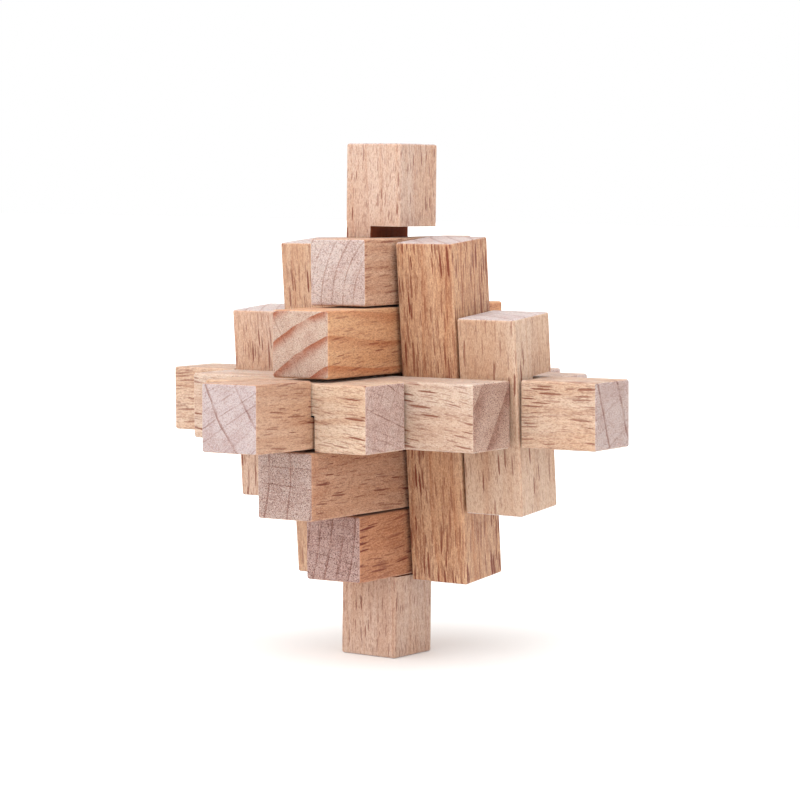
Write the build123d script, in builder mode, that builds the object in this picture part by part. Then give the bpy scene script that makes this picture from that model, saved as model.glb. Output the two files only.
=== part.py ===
from build123d import *
from math import radians, tan
import os

# A wooden burr puzzle: fifteen square bars in three crossing plates, standing on its key bar's foot.
# Millimetres. The origin is the centre of the foot, +Z is up, and the widest row of bars runs along X.
# Each plate is one long bar, its spine, with two medium and two short bars half-lapped onto it:
# the uprights cross the long crossbar, the crossbars cross the long through bar, and the through bars
# cross the upright key bar. The three spines cross in the middle, each cut down to a quarter there.

# ---- Bars ----
width = 10.0  # side of the square section
edge_radius = 0.4
key_length = 78.1
long_through_length = 77.8
long_crossbar_length = 77.5
medium_length = 51.6
short_length = 29.4
key_through_length = 48.9  # the upper medium through bar is cut a little shorter

# ---- Half-laps ----
lap_gap = 0.7  # left between the two halves
play = 0.4  # how far a bar can slide along itself, each way, before its notch stops it
upright_slack = 0.45  # an upright's notch, past the long crossbar at each end
spine_notch = 53.1  # a spine's notch, which holds five bars side by side
centre_reach = 6.4  # half-length of the deeper cut in the middle of a spine
key_drop = 1.8  # how far the upright key bar can drop through the others

# ---- How the loose bars have settled: lengths, and angles in degrees ----
centre_height = 38.2  # from the foot to the crossing of the three spines
stack_offset = (0.2, 0.1)  # of the fourteen other bars, in X and Y, from the key bar
stack_tilt = (0.65, -0.75, 0)  # of the same bars, about X, Y and Z
key_notch_base = -25.7  # the shoulder that they stand on

# through bars: height, front end, length, dip towards the front, yaw
through_bars = {
    "through_bar_short_upper": (20.7, 13.9, short_length, 0.0, 0.6),
    "through_bar_medium_upper": (10.3, 24.0, key_through_length, -0.45, 1.5),
    "through_bar_medium_lower": (-10.25, 26.9, medium_length, -0.35, -0.5),
    "through_bar_short_lower": (-20.5, 15.2, short_length, 0.0, -0.4),
}
key_through_bars = ("through_bar_short_upper", "through_bar_medium_upper")
long_through_tilt = (-0.75, 0, -0.6)
long_through_place = -0.7  # along X, and up against the left half of the upright key bar
long_through_height = 0.05
long_through_front = 38.8
long_through_notch_front = 25.95

# crossbars: place along Y, height, right end, length, yaw
crossbars = {
    "crossbar_short_front": (-20.7, -0.05, 13.6, short_length, -0.2),
    "crossbar_medium_front": (-10.35, -0.05, 25.2, medium_length, 0.0),
    "crossbar_medium_back": (10.65, -0.2, 25.8, medium_length, 0.2),
    "crossbar_short_back": (21.0, -0.3, 14.7, short_length, 0.0),
}
long_crossbar_place = 0.15
long_crossbar_right = 39.1
long_crossbar_yaw = 0.6

# uprights: place along X and Y, height of the middle, length, lean to the front, splay to the right
uprights = {
    "upright_short_left": (-21.0, 0.04, 0.0, short_length, 3.9, 0.0),
    "upright_medium_left": (-10.85, 0.1, -0.45, medium_length, 4.3, 0.0),
    "upright_medium_right": (10.7, 0.17, -0.25, medium_length, 5.0, 0.4),
    "upright_short_right": (21.1, 0.18, -0.35, short_length, 5.0, 0.3),
}

front, right, up = (0, -1, 0), (1, 0, 0), (0, 0, 1)
back, left, down = (0, 1, 0), (-1, 0, 0), (0, 0, -1)
stack = Location((*stack_offset, centre_height), stack_tilt)
lap_reach = width / 2 + play


def across(along, kept, place):
    """The plane across a bar at its crossing: its normal runs along the bar, its x to the half kept."""
    return Plane(place * Plane(origin=(0, 0, 0), x_dir=kept, z_dir=along).location)


def make_bar(name, plane, end, length, notch, quarter=None):
    """Builds and writes one bar. end is where it ends along the plane's normal.
    notch and quarter are each a (start, stop) along it. The notch takes the half behind the plane's x axis.
    The quarter, where the three spines cross, takes the half behind its y axis too."""
    with BuildPart() as bar:
        with BuildSketch(plane.offset(end - length)):
            Rectangle(width, width)
        extrude(amount=length)
        # the bar is rounded before it is notched, so the notches keep sharp edges
        fillet(bar.edges(), edge_radius)
        with BuildSketch(plane.offset(notch[0])):
            with Locations((lap_gap / 2, 0)):
                Rectangle(width, 2 * width, align=(Align.MAX, Align.CENTER))
        extrude(amount=notch[1] - notch[0], mode=Mode.SUBTRACT)
        if quarter:
            with BuildSketch(plane.offset(quarter[0])):
                with Locations((0, lap_gap / 2)):
                    Rectangle(2 * width, width, align=(Align.CENTER, Align.MAX))
            extrude(amount=quarter[1] - quarter[0], mode=Mode.SUBTRACT)
    bar.part.label = name
    export_step(bar.part, f"parts/{name}.step")


os.makedirs("parts", exist_ok=True)

# ---- The spines ----
# The upright key bar stands square on its foot, and its right half is cut away for the through bars.
make_bar(
    "upright_key_bar",
    across(up, left, Location((0, 0, centre_height))),
    key_length - centre_height,
    key_length,
    notch=(key_notch_base, key_notch_base + spine_notch),
    quarter=(-centre_reach, centre_reach + key_drop),
)
# The upper half of the long through bar is cut away for the crossbars.
long_through_position = (long_through_place, 0, long_through_height)
make_bar(
    "through_bar_long",
    across(front, down, stack * Location(long_through_position, long_through_tilt)),
    long_through_front,
    long_through_length,
    notch=(long_through_notch_front - spine_notch, long_through_notch_front),
    quarter=(-centre_reach, centre_reach),
)
# The front half of the long crossbar is cut away for the uprights.
make_bar(
    "crossbar_long",
    across(right, back, stack * Location((0, long_crossbar_place, 0), (0, 0, long_crossbar_yaw))),
    long_crossbar_right,
    long_crossbar_length,
    notch=(-spine_notch / 2, spine_notch / 2),
    quarter=(-centre_reach, centre_reach),
)

# ---- The other through bars. A key's notch runs out at its back end, so it slides out forwards ----
for name, (height, end, length, dip, yaw) in through_bars.items():
    plane = across(front, right, stack * Location((0, 0, height), (dip, 0, yaw)))
    key_bar = stack_offset[1] - height * tan(radians(stack_tilt[0]))  # where the key bar passes behind
    notch_start = end - length if name in key_through_bars else key_bar - lap_reach
    make_bar(name, plane, end, length, notch=(notch_start, key_bar + lap_reach))

# ---- The other crossbars lie on the long through bar ----
for name, (place, height, end, length, yaw) in crossbars.items():
    plane = across(right, up, stack * Location((0, place, height), (0, 0, yaw)))
    spine = long_through_place - place * tan(radians(long_through_tilt[2]))  # the bar below
    make_bar(name, plane, end, length, notch=(spine - lap_reach, spine + lap_reach))

# ---- The other uprights hang on the long crossbar, leaning as far as the bars beside them allow ----
for name, (place, depth, middle, length, lean, splay) in uprights.items():
    plane = across(up, front, stack * Location((place, depth, 0), (lean, splay, 0)))
    reach = width / 2 + upright_slack
    make_bar(name, plane, middle + length / 2, length, notch=(-reach, reach))
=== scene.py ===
import math

import bpy
import numpy as np
from mathutils import Matrix, Vector


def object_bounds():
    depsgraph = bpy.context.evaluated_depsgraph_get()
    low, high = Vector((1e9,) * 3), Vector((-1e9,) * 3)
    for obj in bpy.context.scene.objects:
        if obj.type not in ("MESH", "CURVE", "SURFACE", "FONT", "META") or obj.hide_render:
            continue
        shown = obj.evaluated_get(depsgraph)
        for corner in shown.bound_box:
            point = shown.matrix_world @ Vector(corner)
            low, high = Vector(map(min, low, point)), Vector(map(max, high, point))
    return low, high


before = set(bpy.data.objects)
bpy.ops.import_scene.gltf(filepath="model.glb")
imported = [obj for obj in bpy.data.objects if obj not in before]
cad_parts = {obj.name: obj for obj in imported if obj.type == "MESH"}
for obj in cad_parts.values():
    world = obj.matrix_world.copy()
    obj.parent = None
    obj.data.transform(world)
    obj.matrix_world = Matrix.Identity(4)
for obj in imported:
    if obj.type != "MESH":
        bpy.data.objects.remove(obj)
cad_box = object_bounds()

# ---- The bars' own axes ----
# u and v lie across a bar, as its visible end is seen, with u to the right and v up. w runs along it.
HALF_WIDTH = 5.0  # of a bar's square section, in millimetres
MILLIMETRE = 0.001
ALIGNED = 0.98  # how closely a facet must face along an axis to count as square to it
RIGHT, BACK, UP = Vector((1, 0, 0)), Vector((0, 1, 0)), Vector((0, 0, 1))
NOMINAL = {"through_bar": (RIGHT, UP, -BACK), "crossbar": (BACK, UP, RIGHT), "upright": (RIGHT, BACK, UP)}


def bar_axes(name):
    """The bar's middle, its three axes and its half-length, read from its mesh."""
    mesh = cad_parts[name].data
    u, v, w = next(axes for kind, axes in NOMINAL.items() if name.startswith(kind))
    normals = np.array([p.normal for p in mesh.polygons])
    areas = np.array([p.area for p in mesh.polygons])
    found = []
    for axis in (u, w):
        near = np.abs(normals @ np.array(axis)) > ALIGNED
        signs = np.sign(normals[near] @ np.array(axis))
        found.append(Vector((normals[near] * (signs * areas[near])[:, None]).sum(0).tolist()).normalized())
    w = found[1]
    v = w.cross(found[0]).normalized()
    u = v.cross(w)
    corners = np.array([p.co for p in mesh.vertices])
    reach = [(corners @ np.array(axis)) for axis in (u, v, w)]
    middle = sum((axis * float(r.max() + r.min()) / 2 for r, axis in zip(reach, (u, v, w))), Vector())
    return middle, (u, v, w), float(reach[2].max() - reach[2].min()) / 2


# ---- Nodes ----
class Graph:
    """Short calls that add shader nodes to a material. Each returns an output socket."""

    def __init__(self, tree):
        self.tree = tree

    def add(self, kind, **settings):
        node = self.tree.nodes.new("ShaderNode" + kind)
        for key, value in settings.items():
            setattr(node, key, value)
        return node

    def plug(self, socket, value):
        if isinstance(value, bpy.types.NodeSocket):
            self.tree.links.new(value, socket)
        else:
            socket.default_value = value

    def math(self, operation, *values):
        node = self.add("Math", operation=operation)
        for socket, value in zip(node.inputs, values):
            self.plug(socket, value)
        return node.outputs[0]

    def dot(self, vector, axis):
        node = self.add("VectorMath", operation="DOT_PRODUCT")
        self.plug(node.inputs[0], vector)
        self.plug(node.inputs[1], tuple(axis))
        return node.outputs["Value"]

    def scaled(self, vector, scale, shift):
        node = self.add("VectorMath", operation="MULTIPLY_ADD")
        self.plug(node.inputs[0], vector)
        self.plug(node.inputs[1], scale)
        self.plug(node.inputs[2], shift)
        return node.outputs[0]

    def vector(self, x, y):
        node = self.add("CombineXYZ")
        for socket, value in zip(node.inputs, (x, y)):
            self.plug(socket, value)
        return node.outputs[0]

    def noise(self, vector, detail, rough):
        node = self.add("TexNoise", noise_dimensions="3D")
        self.plug(node.inputs["Vector"], vector)
        node.inputs["Scale"].default_value = 1.0
        node.inputs["Detail"].default_value = detail
        node.inputs["Roughness"].default_value = rough
        return node.outputs["Fac"]

    def lines(self, value):
        """Distance to the nearest of many uneven lines, about 1 apart, and a chance for each line."""
        node = self.add("TexVoronoi", voronoi_dimensions="1D", feature="F1")
        self.plug(node.inputs["W"], value)
        node.inputs["Scale"].default_value = 1.0
        split = self.add("SeparateColor")
        self.plug(split.inputs[0], node.outputs["Color"])
        return node.outputs["Distance"], split.outputs[0]

    def cells(self, vector):
        """Distance to the middle of the nearest of many uneven cells, and two chances for each cell."""
        node = self.add("TexVoronoi", voronoi_dimensions="2D", feature="F1")
        self.plug(node.inputs["Vector"], vector)
        node.inputs["Scale"].default_value = 1.0
        split = self.add("SeparateColor")
        self.plug(split.inputs[0], node.outputs["Color"])
        return node.outputs["Distance"], split.outputs[0], split.outputs[1]

    def ramp(self, value, low, high, out_low=0.0, out_high=1.0):
        node = self.add("MapRange", interpolation_type="SMOOTHSTEP")
        for socket, v in zip(node.inputs, (value, low, high, out_low, out_high)):
            self.plug(socket, v)
        return node.outputs[0]

    def mix(self, share, a, b):
        node = self.add("Mix", data_type="FLOAT")
        self.plug(node.inputs[0], share)
        self.plug(node.inputs[2], a)
        self.plug(node.inputs[3], b)
        return node.outputs[0]

    def blend(self, share, a, b, how="MIX"):
        node = self.add("Mix", data_type="RGBA", blend_type=how)
        self.plug(node.inputs[0], share)
        self.plug(node.inputs[6], a)
        self.plug(node.inputs[7], b)
        return node.outputs[2]


def linear(r, g, b):
    """A colour given as sRGB, 0 to 255."""
    return (*(((c / 255 + 0.055) / 1.055) ** 2.4 if c > 10 else c / 255 / 12.92 for c in (r, g, b)), 1)


# ---- Beech ----
FACE_SHIFT = 37.3  # keeps the flecks of a bar's neighbouring faces different
WEAR_AND_HIGHLIGHT = (0.42, 0.18)  # how near an edge the wear and the painted edge highlight start and are full, in millimetres
NOTCH_DEPTH = (0.45, 0.7)  # below a bar's outside, past which a face counts as recessed and gets painted shade


def beech(name, seed, side, end, pith, rings, rays, flecks, slant=0.0, contrast=1.0, speckle=1.0,
          late_wood=(184, 140, 124), notch_shade=(238, 220, 208)):
    """Beech for one bar, as one solid block of wood. Lengths are in millimetres.
    side, end: sRGB colours of the long faces and of the end grain.
    pith: direction in degrees from u towards v, and distance, of the tree's middle from the bar's.
    rings: spacing, share of a ring that is dark, its strength on the ends and on the sides.
    rays: spacing and strength of the fine lines that cross the rings on the ends.
    flecks: the rays on the long faces, as spacing across and along the grain, width and strength.
    slant: how far the grain drifts sideways along the bar.
    contrast, speckle: how strong the fibres and the speckle of the end grain are.
    late_wood, notch: sRGB tints of the dark part of a ring and of the painted shade on the recessed faces
    inside the half-lap and in the gaps between bars."""
    middle, (u, v, w), half = bar_axes(name)
    material = bpy.data.materials.new("beech_" + name)
    material.use_nodes = True
    g = Graph(material.node_tree)
    g.tree.nodes.clear()
    coordinates = g.add("TexCoord")
    place = g.add("Mapping", vector_type="TEXTURE")
    g.plug(place.inputs["Vector"], coordinates.outputs["Object"])
    place.inputs["Location"].default_value = middle
    place.inputs["Rotation"].default_value = Matrix((u, v, w)).transposed().to_euler()
    place.inputs["Scale"].default_value = (MILLIMETRE,) * 3
    local = place.outputs[0]
    split = g.add("SeparateXYZ")
    g.plug(split.inputs[0], local)
    pu, pv, pw = split.outputs
    normal = coordinates.outputs["Normal"]
    nu = g.math("ABSOLUTE", g.dot(normal, u))
    nv = g.math("ABSOLUTE", g.dot(normal, v))
    nw = g.math("ABSOLUTE", g.dot(normal, w))
    on_end = g.ramp(nw, 0.6, 0.78)
    faces_u = g.math("GREATER_THAN", nu, nv)

    def field(across, along, shift, detail=2.0, rough=0.5):
        """Noise with features that many times to a millimetre across and along the grain."""
        moved = g.scaled(local, (across, across, along), (seed, shift, 1.7 * shift))
        return g.noise(moved, detail, rough)

    # growth rings round the pith
    turn, far = math.radians(pith[0]), pith[1]
    towards = Vector((math.cos(turn), math.sin(turn), 0))
    aside = Vector((-math.sin(turn), math.cos(turn), 0))
    wobble = field(0.22, 0.02, 9.4)
    a = g.math("SUBTRACT", far, g.dot(local, towards))
    b = g.dot(local, aside)
    radius = g.math("SQRT", g.math("ADD", g.math("MULTIPLY", a, a), g.math("MULTIPLY", b, b)))
    radius = g.math("MULTIPLY_ADD", field(0.05, 0.035, 3.1, 1), 3.0, radius)
    radius = g.math("MULTIPLY_ADD", wobble, 0.15 * rings[0], radius)
    radius = g.math("MULTIPLY_ADD", field(1.2, 0.1, 6.6), 0.2, radius)
    around = g.math("MULTIPLY", g.math("ARCTAN2", b, a), far)
    ring = g.math("FRACT", g.math("MULTIPLY_ADD", radius, 1 / rings[0], seed * 0.37))
    sharp = min(0.04, rings[1] * 0.3)
    late = g.math("MULTIPLY", g.ramp(ring, 1 - rings[1], 1 - sharp), g.ramp(ring, 1.0, 1 - 0.7 * sharp))
    late = g.math("MULTIPLY", late, g.ramp(field(0.35, 0.05, 5.0), 0.3, 0.6, 0.4, 1.0))

    # ray flecks on the long faces: short dashes along the grain
    across = g.mix(faces_u, pu, g.math("ADD", pv, FACE_SHIFT))
    across = g.math("MULTIPLY_ADD", pw, slant, across)
    across = g.math("MULTIPLY_ADD", field(0.1, 0.07, 1.7, 1), 1.6, across)

    ragged = g.math("SUBTRACT", field(4.5, 1.6, 12.0, 1), 0.5)

    def dashes(step, length, width, shift):
        near, chance, other = g.cells(
            g.vector(
                g.math("MULTIPLY_ADD", across, 1 / step, shift),
                g.math("MULTIPLY_ADD", pw, 1 / length, shift),
            )
        )
        size = g.math("MULTIPLY_ADD", chance, width / step * 0.5, width / step * 0.3)
        near = g.math("MULTIPLY_ADD", ragged, 0.35 * width / step, near)
        body = g.ramp(g.math("DIVIDE", near, size), 1.0, 0.62)
        return g.math("MULTIPLY", body, g.ramp(other, 0.05, 0.5, 0.2, 1.0))

    step, length, width, strength = flecks
    bold = dashes(step, length, width, seed * 1.3)
    small = dashes(step * 0.6, length * 0.55, width * 0.8, seed * 2.1 + 5)
    fleck = g.math("MAXIMUM", bold, g.math("MULTIPLY", small, 0.5))
    fleck = g.math("MULTIPLY", fleck, g.math("SUBTRACT", 1.0, on_end))
    fleck = g.math("MULTIPLY", fleck, g.ramp(field(0.14, 0.04, 13.0, 1), 0.38, 0.55, 0.6, 1.0))

    # fibres, pores and the speckle of the end grain
    fibres = field(3.8, 1.3, 0.0, 3, 0.65)
    threads = field(2.2, 0.1, 4.0, 2)
    broad = field(0.7, 0.05, 8.0, 2)
    patches = field(0.16, 0.05, 6.0, 1)
    pores = dashes(0.22, 1.3, 0.09, seed + 11)
    speck = field(6.0, 6.0, 2.0, 1, 0.6)
    sand = field(5.5, 3.5, 2.6, 1, 0.6)
    grit = field(2.6, 2.6, 4.5, 2)
    blotch = field(0.3, 0.3, 7.0, 1)

    # rays on the end grain: fine lines that run out from the pith
    fine = 0.1 / rays[0]
    bent = g.math("MULTIPLY_ADD", wobble, 0.5, around)
    ray_near, ray_chance = g.lines(g.math("MULTIPLY_ADD", bent, 1 / rays[0], seed * 3))
    ray_strength = g.ramp(ray_chance, 0.1, 0.9, 0.3, 1.0)
    ray = g.math("MULTIPLY", g.ramp(ray_near, 1.5 * fine, 0.4 * fine), ray_strength)
    ray = g.math("MULTIPLY", ray, g.ramp(field(0.45, 0.45, 3.6), 0.35, 0.6, 0.25 * rays[1], rays[1]))

    # pale edges, where two of the bar's faces are both near: rubbed wear and a painted highlight; and the
    # recessed faces inside the half-lap, which get painted shade
    gap_u = g.math("SUBTRACT", HALF_WIDTH, g.math("ABSOLUTE", pu))
    gap_v = g.math("SUBTRACT", HALF_WIDTH, g.math("ABSOLUTE", pv))
    gap_w = g.math("SUBTRACT", half / MILLIMETRE, g.math("ABSOLUTE", pw))
    nearer = g.math("MINIMUM", gap_u, gap_v)
    farther = g.math("MAXIMUM", gap_u, gap_v)
    second = g.math("MAXIMUM", nearer, g.math("MINIMUM", farther, gap_w))
    wear_and_highlight = g.ramp(g.math("MULTIPLY_ADD", grit, 0.3, second), *WEAR_AND_HIGHLIGHT)
    depth = g.mix(on_end, g.mix(faces_u, gap_v, gap_u), gap_w)
    recessed = g.ramp(depth, *NOTCH_DEPTH)

    # colour
    def tinted(colour, r, gr, bl):
        return tuple(c * t for c, t in zip(colour, linear(r, gr, bl)))

    def paler(colour, gain):
        return (*(min(1, c * gain) for c in colour[:3]), 1)

    side_colour, end_colour = linear(*side), linear(*end)
    brown = tinted(side_colour, 150, 82, 50)
    pale_side = paler(side_colour, 1.22)
    long = g.blend(g.ramp(patches, 0.35, 0.7), side_colour, tinted(side_colour, 250, 238, 226))
    long = g.blend(g.ramp(broad, 0.4, 0.7, 0, 0.4 * contrast), long, tinted(side_colour, 220, 190, 168))
    long = g.blend(g.ramp(threads, 0.45, 0.75, 0, 0.22 * contrast), long, tinted(side_colour, 206, 170, 146))
    long = g.blend(g.ramp(fibres, 0.45, 0.75, 0, 0.42 * contrast), long, tinted(side_colour, 184, 148, 128))
    long = g.blend(g.ramp(fibres, 0.45, 0.25, 0, 0.35 * contrast), long, pale_side)
    long = g.blend(g.ramp(sand, 0.5, 0.72, 0, 0.3 * contrast), long, tinted(side_colour, 184, 152, 136))
    long = g.blend(g.ramp(sand, 0.5, 0.28, 0, 0.3 * contrast), long, pale_side)
    long = g.blend(g.math("MULTIPLY", late, rings[3]), long, linear(226, 188, 160), "MULTIPLY")
    long = g.blend(g.math("MULTIPLY", pores, 0.45), long, brown)
    long = g.blend(g.math("MULTIPLY", fleck, strength), long, brown)
    pale_end = paler(end_colour, 1.35)
    cut = g.blend(g.ramp(blotch, 0.4, 0.65), end_colour, tinted(end_colour, 242, 234, 232))
    cut = g.blend(g.ramp(speck, 0.5, 0.72, 0, min(1, 0.5 * speckle)), cut, tinted(end_colour, 148, 112, 104))
    cut = g.blend(g.ramp(speck, 0.48, 0.28, 0, min(1, 0.5 * speckle)), cut, pale_end)
    cut = g.blend(g.ramp(grit, 0.5, 0.7, 0, 0.3), cut, linear(196, 152, 136), "MULTIPLY")
    cut = g.blend(g.math("MULTIPLY", late, rings[2]), cut, linear(*late_wood), "MULTIPLY")
    cut = g.blend(ray, cut, linear(172, 126, 112), "MULTIPLY")
    colour = g.blend(on_end, long, cut)
    # painted highlight and wear: edges are lightened towards a paler colour, as rubbed wood and as light
    # catching the rounded edges
    edge_wear_highlight = g.blend(on_end, paler(side_colour, 1.2), pale_end)
    colour = g.blend(g.math("MULTIPLY", wear_and_highlight, 0.3), colour, edge_wear_highlight)
    # painted shade: recessed faces inside the half-lap and in the gaps between bars take the darker notch
    # tint, as shade falls in the recess, varied a little by the grain
    notch_shade_pale = (min(255, 1.1 * c) for c in notch_shade)
    painted_recess_shade = g.blend(
        g.ramp(threads, 0.35, 0.65), tinted(side_colour, *notch_shade), tinted(side_colour, *notch_shade_pale)
    )
    colour = g.blend(recessed, colour, painted_recess_shade)

    # surface
    grain = g.math("MULTIPLY_ADD", fibres, 0.05, g.math("MULTIPLY", fleck, -0.08))
    grain = g.math("MULTIPLY_ADD", pores, -0.03, grain)
    height = g.mix(on_end, grain, g.math("MULTIPLY", speck, 0.08))
    bump = g.add("Bump")
    bump.inputs["Strength"].default_value = 0.6
    bump.inputs["Distance"].default_value = 0.001
    g.plug(bump.inputs["Height"], height)
    rough = g.mix(on_end, g.ramp(fibres, 0.3, 0.7, 0.52, 0.68), g.ramp(speck, 0.3, 0.7, 0.72, 0.86))
    rough = g.math("MULTIPLY_ADD", wear_and_highlight, -0.06, rough)
    shader = g.add("BsdfPrincipled")
    g.plug(shader.inputs["Base Color"], colour)
    g.plug(shader.inputs["Roughness"], rough)
    g.plug(shader.inputs["Normal"], bump.outputs[0])
    g.plug(shader.inputs["Specular IOR Level"], g.mix(recessed, 0.5, 0.05))
    g.plug(shader.inputs["Sheen Weight"], g.mix(recessed, 0.12, 0.0))
    shader.inputs["Sheen Roughness"].default_value = 0.4
    shader.inputs["Subsurface Weight"].default_value = 0.15
    shader.inputs["Subsurface Radius"].default_value = (1.0, 0.45, 0.25)
    shader.inputs["Subsurface Scale"].default_value = 0.0012
    output = g.add("OutputMaterial")
    g.plug(output.inputs[0], shader.outputs[0])
    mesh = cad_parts[name].data
    mesh.materials.clear()
    mesh.materials.append(material)


# flecks that several bars share
FEW, SOME, MANY = (0.95, 10.0, 0.27, 1.0), (0.75, 9.0, 0.27, 1.0), (0.6, 6.5, 0.36, 1.0)
BARS = {
    "through_bar_short_upper": dict(side=(196, 159, 133), end=(190, 173, 166), pith=(-20, 16),
                                    rings=(1.9, 0.2, 0.6, 0.3), rays=(1.3, 0.2), flecks=SOME,
                                    slant=0.05, contrast=1.4, speckle=1.2),
    "through_bar_medium_upper": dict(side=(208, 163, 124), end=(186, 162, 146), pith=(-63, 46.25),
                                     rings=(3.7, 0.5, 1.0, 0.9), rays=(1.6, 0.35),
                                     flecks=(0.95, 10.0, 0.25, 0.75),
                                     slant=0.1, contrast=1.2, speckle=1.1,
                                     late_wood=(214, 150, 120)),
    "through_bar_long": dict(side=(190, 155, 130), end=(182, 166, 164), pith=(30, 60),
                             rings=(5.0, 0.12, 0.75, 0.4), rays=(1.2, 0.55), flecks=(0.95, 11.0, 0.29, 1.0),
                             contrast=1.1, speckle=0.8),
    "through_bar_medium_lower": dict(side=(186, 147, 121), end=(175, 153, 144), pith=(176, 80),
                                     rings=(4.0, 0.12, 0.7, 0.3), rays=(2.0, 0.75), flecks=FEW,
                                     contrast=1.6, speckle=2.0),
    "through_bar_short_lower": dict(side=(190, 140, 107), end=(169, 141, 133), pith=(172, 40),
                                    rings=(2.1, 0.26, 0.75, 0.3), rays=(1.6, 0.4),
                                    flecks=(0.75, 10.0, 0.3, 1.0),
                                    slant=0.1, contrast=1.4, speckle=2.0),
    "crossbar_short_front": dict(side=(203, 179, 157), end=(182, 157, 147), pith=(-20, 50),
                                 rings=(3.0, 0.12, 0.4, 0.3), rays=(1.5, 0.75),
                                 flecks=(0.85, 10.0, 0.26, 0.9),
                                 slant=0.12, contrast=1.1, speckle=1.4),
    "crossbar_medium_front": dict(side=(201, 184, 171), end=(172, 143, 127), pith=(-31, 50),
                                  rings=(6.5, 0.62, 0.7, 0.3), rays=(1.8, 0.1),
                                  flecks=(0.85, 10.0, 0.26, 0.85),
                                  slant=0.12, contrast=1.1, speckle=1.8),
    "crossbar_long": dict(side=(199, 173, 152), end=(177, 158, 152), pith=(22, 50),
                          rings=(5.0, 0.14, 0.85, 0.3), rays=(1.7, 0.85),
                          flecks=(0.62, 8.0, 0.27, 0.95),
                          contrast=1.1, speckle=1.6),
    "crossbar_medium_back": dict(side=(200, 178, 164), end=(184, 165, 159), pith=(120, 30),
                                 rings=(2.6, 0.2, 0.6, 0.3), rays=(1.4, 0.3), flecks=SOME),
    "crossbar_short_back": dict(side=(202, 181, 168), end=(186, 167, 161), pith=(60, 26),
                                rings=(2.1, 0.2, 0.6, 0.3), rays=(1.3, 0.3), flecks=FEW),
    "upright_key_bar": dict(side=(200, 172, 154), end=(192, 178, 174), pith=(215, 40),
                            rings=(2.4, 0.2, 0.6, 0.3), rays=(1.3, 0.3), flecks=(0.75, 6.0, 0.22, 0.9),
                            # a dark painted shade for the deep, shaded neck of the key bar's half-lap
                            notch_shade=(156, 96, 74)),
    "upright_short_left": dict(side=(203, 175, 156), end=(192, 178, 174), pith=(30, 40),
                               rings=(2.2, 0.2, 0.6, 0.3), rays=(1.3, 0.3), flecks=SOME),
    "upright_medium_left": dict(side=(198, 163, 135), end=(192, 178, 174), pith=(140, 40),
                                rings=(2.4, 0.2, 0.6, 0.3), rays=(1.3, 0.3), flecks=SOME),
    "upright_medium_right": dict(side=(202, 165, 133), end=(188, 172, 168), pith=(40, 34),
                                 rings=(2.6, 0.3, 0.6, 0.5), rays=(1.3, 0.4), flecks=MANY,
                                 contrast=1.3),
    "upright_short_right": dict(side=(199, 172, 150), end=(191, 178, 175), pith=(250, 34),
                                rings=(2.8, 0.2, 0.6, 0.3), rays=(1.3, 0.3), flecks=(1.3, 14.0, 0.3, 1.0)),
}
FIRST_SEED, SEED_STEP = 3.7, 5.3
for number, (name, wood) in enumerate(BARS.items()):
    beech(name, seed=FIRST_SEED + SEED_STEP * number, **wood)

# ---- Floor, light and camera ----
FLOOR_REACH = 60  # half-width of the floor, in widths of the puzzle
low, high = cad_box
span = max(high - low)

floor_mesh = bpy.data.meshes.new("floor")
reach = FLOOR_REACH * span
corners = [(x * reach, y * reach, low.z) for x, y in ((-1, -1), (1, -1), (1, 1), (-1, 1))]
floor_mesh.from_pydata(corners, [], [(0, 1, 2, 3)])
floor = bpy.data.objects.new("floor", floor_mesh)
bpy.context.scene.collection.objects.link(floor)
white = bpy.data.materials.new("floor_white")
white.use_nodes = True
white.node_tree.nodes["Principled BSDF"].inputs["Base Color"].default_value = (0.95, 0.95, 0.94, 1)
white.node_tree.nodes["Principled BSDF"].inputs["Roughness"].default_value = 0.9
floor_mesh.materials.append(white)

world = bpy.data.worlds.new("studio")
world.use_nodes = True
world.node_tree.nodes["Background"].inputs["Color"].default_value = (1, 1, 1, 1)
world.node_tree.nodes["Background"].inputs["Strength"].default_value = 1.0
bpy.context.scene.world = world


def soft_light(name, direction, softness, strength):
    """A lamp that shines from a direction, as soft as a sky patch that many degrees across."""
    data = bpy.data.lights.new(name, "SUN")
    data.angle = math.radians(softness)
    data.energy = strength
    lamp = bpy.data.objects.new(name, data)
    bpy.context.scene.collection.objects.link(lamp)
    lamp.rotation_mode = "QUATERNION"
    lamp.rotation_quaternion = Vector(direction).normalized().to_track_quat("Z", "Y")


soft_light("key", (-0.35, -0.8, 0.6), 50, 0.93)
soft_light("overhead", (0.2, -0.25, 1.0), 80, 1.7)

CAMERA_PLACE = (0.24933, -0.35777, 0.07134)
CAMERA_TURN = (34.656, 4.245, 0.663)  # degrees: azimuth to the right of the front, pitch down, roll
LENS, SENSOR = 128.28, 36
azimuth, pitch, roll = (math.radians(angle) for angle in CAMERA_TURN)
level = Vector((math.sin(azimuth), -math.cos(azimuth), 0))
backward = level * math.cos(pitch) + UP * math.sin(pitch)
rightward = Vector((math.cos(azimuth), math.sin(azimuth), 0))
upward = backward.cross(rightward)
camera_data = bpy.data.cameras.new("camera")
camera_data.lens = LENS
camera_data.sensor_width = SENSOR
camera = bpy.data.objects.new("camera", camera_data)
bpy.context.scene.collection.objects.link(camera)
side_axis = rightward * math.cos(roll) + upward * math.sin(roll)
top_axis = upward * math.cos(roll) - rightward * math.sin(roll)
camera.rotation_mode = "QUATERNION"
camera.rotation_quaternion = Matrix((side_axis, top_axis, backward)).transposed().to_quaternion()
camera.location = CAMERA_PLACE
bpy.context.scene.camera = camera
bpy.context.scene.view_settings.view_transform = "Standard"
